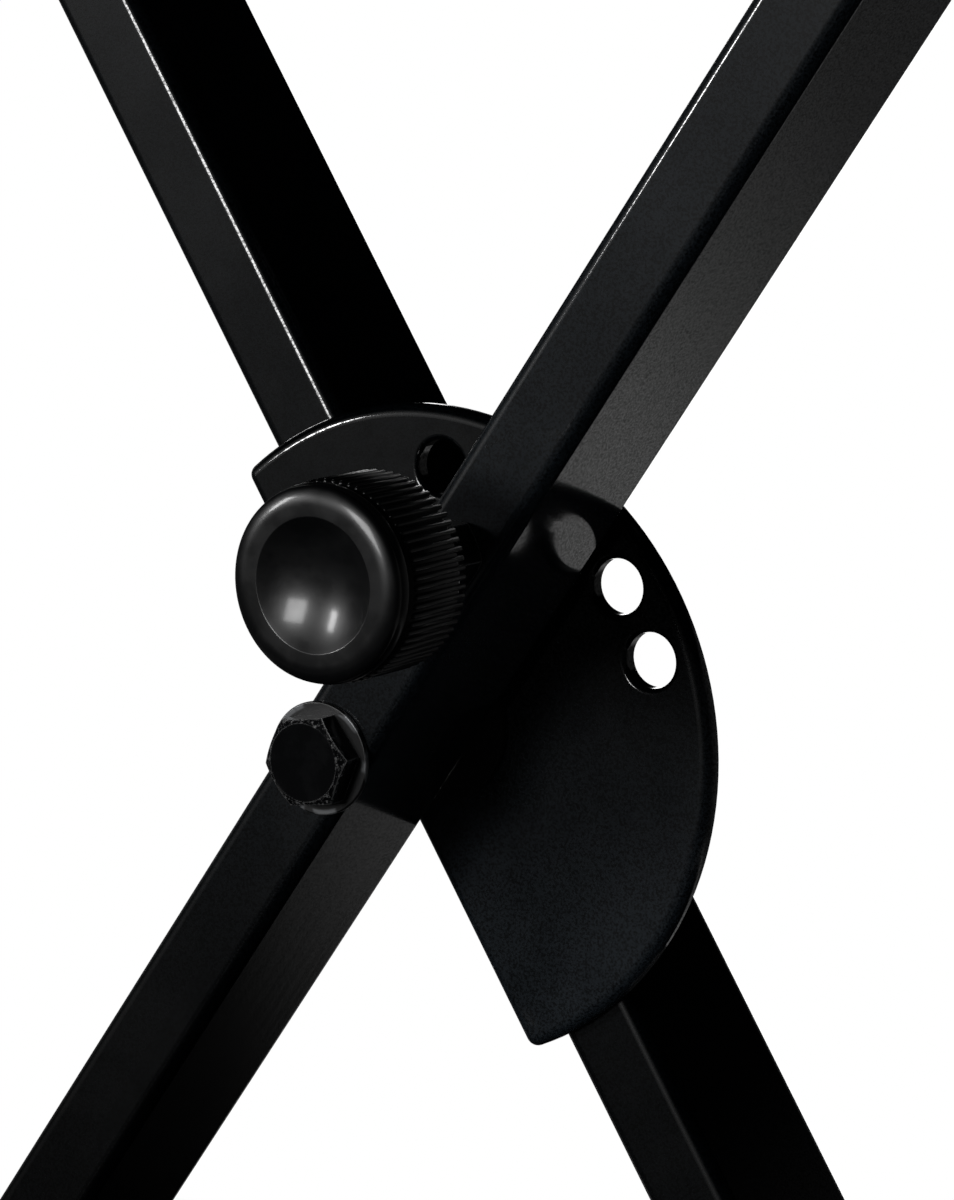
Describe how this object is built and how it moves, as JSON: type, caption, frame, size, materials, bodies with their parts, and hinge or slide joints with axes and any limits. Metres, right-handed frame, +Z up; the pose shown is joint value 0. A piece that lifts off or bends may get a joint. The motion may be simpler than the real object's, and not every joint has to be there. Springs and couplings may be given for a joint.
{
  "type": "folding keyboard stand",
  "caption": "Folding X-shaped stand with a spring-loaded lock pin, a holed locking plate, round floor bars and rubber-covered arms that carry a keyboard.",
  "frame": {"origin": "on the floor, below the pivot bolt, midway between the legs", "axes": "+X to the right, +Y to the back, away from the lock knob, +Z up"},
  "size_m": [0.601, 0.48, 0.836],
  "materials": {
    "powder_coat": "fine-grained satin black powder coat",
    "black_steel": "black oxide, lightly oiled",
    "worn_steel": "black, worn to bare metal at the edge",
    "bright_steel": "zinc plated",
    "nylon": "matt black nylon",
    "knob_plastic": "glossy black moulded plastic",
    "cap_rubber": "matt black moulded rubber",
    "sleeve_rubber": "soft matt black rubber"
  },
  "bodies": {
    "rear_frame": {"rear_leg_tube": "powder_coat", "locking_plate": "powder_coat", "pivot_bolt": "black_steel", "head_washer": "worn_steel", "rear_washer": "worn_steel", "lock_nut": "black_steel", "pivot_spacer": "nylon", "rear_pivot_bush": "bright_steel", "rear_leg_lower_plug": "bright_steel", "rear_leg_upper_plug": "bright_steel", "right_floor_bar": "powder_coat", "right_floor_bar_screws": "black_steel", "right_floor_bar_saddles": "bright_steel", "left_support_arm": "powder_coat", "left_support_arm_screws": "black_steel", "left_support_arm_saddles": "bright_steel", "left_arm_sleeve_front": "sleeve_rubber", "left_arm_sleeve_back": "sleeve_rubber", "left_arm_cap_front": "cap_rubber", "left_arm_cap_back": "cap_rubber", "floor_cap_front": "cap_rubber", "floor_cap_back": "cap_rubber"},
    "front_frame": {"front_leg_tube": "powder_coat", "front_pivot_bush": "bright_steel", "guide_bush": "black_steel", "pin_guide": "bright_steel", "front_leg_lower_plug": "bright_steel", "front_leg_upper_plug": "bright_steel", "left_floor_bar": "powder_coat", "left_floor_bar_screws": "black_steel", "left_floor_bar_saddles": "bright_steel", "right_support_arm": "powder_coat", "right_support_arm_screws": "black_steel", "right_support_arm_saddles": "bright_steel", "right_arm_sleeve_front": "sleeve_rubber", "right_arm_sleeve_back": "sleeve_rubber", "right_arm_cap_front": "cap_rubber", "right_arm_cap_back": "cap_rubber"},
    "pin_carriage": {"spring_washer": "bright_steel", "plunger_spring": "bright_steel"},
    "plunger": {"lock_pin": "bright_steel", "lock_knob": "knob_plastic", "knob_insert": "bright_steel"},
    "levelling_cap_front": {"levelling_cap_front": "cap_rubber"},
    "levelling_cap_back": {"levelling_cap_back": "cap_rubber"}
  },
  "joints": [
    {"name": "leg_fold", "type": "hinge", "parent": "rear_frame", "child": "front_frame", "pos_m": [0, 0, 0.44328], "axis": [0, -1, 0], "range_deg": [-35, 61]},
    {"name": "lock_pull", "type": "slide", "parent": "front_frame", "child": "pin_carriage", "axis": [0, -1, 0], "range_m": [-0.005, 0.005], "stiffness_N_per_m": 800, "springref_m": -0.012, "deforming": ["plunger_spring"]},
    {"name": "knob_turn", "type": "hinge", "parent": "pin_carriage", "child": "plunger", "pos_m": [0.02567, 0, 0.48206], "axis": [0, -1, 0], "continuous": true},
    {"name": "front_cap_turn", "type": "hinge", "parent": "front_frame", "child": "levelling_cap_front", "pos_m": [-0.28149, -0.219, 0.018], "axis": [0, -1, 0], "range_deg": [0, 270]},
    {"name": "back_cap_turn", "type": "hinge", "parent": "front_frame", "child": "levelling_cap_back", "pos_m": [-0.28149, 0.219, 0.018], "axis": [0, -1, 0], "range_deg": [0, 270]}
  ]
}
